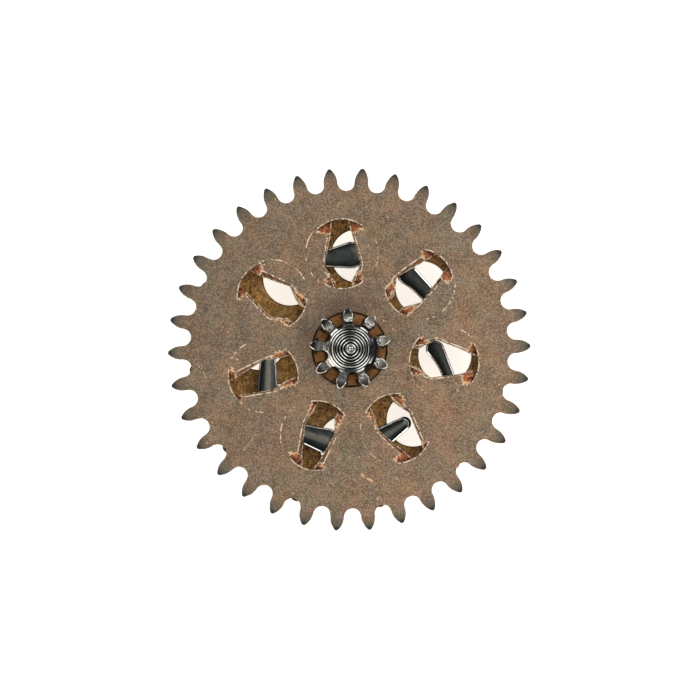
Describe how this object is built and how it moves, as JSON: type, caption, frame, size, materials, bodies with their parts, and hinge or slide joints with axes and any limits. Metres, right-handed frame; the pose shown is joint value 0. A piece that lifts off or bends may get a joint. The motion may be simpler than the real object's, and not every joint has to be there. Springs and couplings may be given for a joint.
{
  "type": "watch reversing wheel",
  "caption": "One-way wheel for a self-winding watch: a toothed wheel with windowed pockets and loose pawls, free on a pinion arbor that carries a pierced lower wheel.",
  "frame": {"origin": "on the arbor's axis, where the lower pivot meets its shoulder", "axes": "+Z along the arbor towards the pinion and the upper pivot; +X and +Y lie in the wheel, +X towards the right of the picture and +Y towards its top"},
  "size_m": [0.0062, 0.0062, 0.0019],
  "materials": {
    "polished_steel": "turned and polished",
    "bush_bronze": "turned, darkened",
    "old_brass": "mottled golden brown",
    "patinated_bronze": "matt brown patina, bright copper where torn",
    "pawl_steel": "mirror polished"
  },
  "bodies": {
    "arbor_body": {"arbor": "polished_steel", "bush": "bush_bronze", "lower_wheel": "old_brass"},
    "wheel_body": {"upper_wheel": "patinated_bronze"},
    "pawls_body": {"pawl_1": "pawl_steel", "pawl_2": "pawl_steel", "pawl_3": "pawl_steel", "pawl_4": "pawl_steel", "pawl_5": "pawl_steel", "pawl_6": "pawl_steel"}
  },
  "joints": [
    {"name": "wheel_turn", "type": "hinge", "parent": "arbor_body", "child": "wheel_body", "pos_m": [0, 0, 0.00063], "axis": [0, 0, 1], "continuous": true},
    {"name": "pawls_float", "type": "slide", "parent": "wheel_body", "child": "pawls_body", "axis": [0, 0, -1], "range_m": [0, 0.00009]}
  ]
}
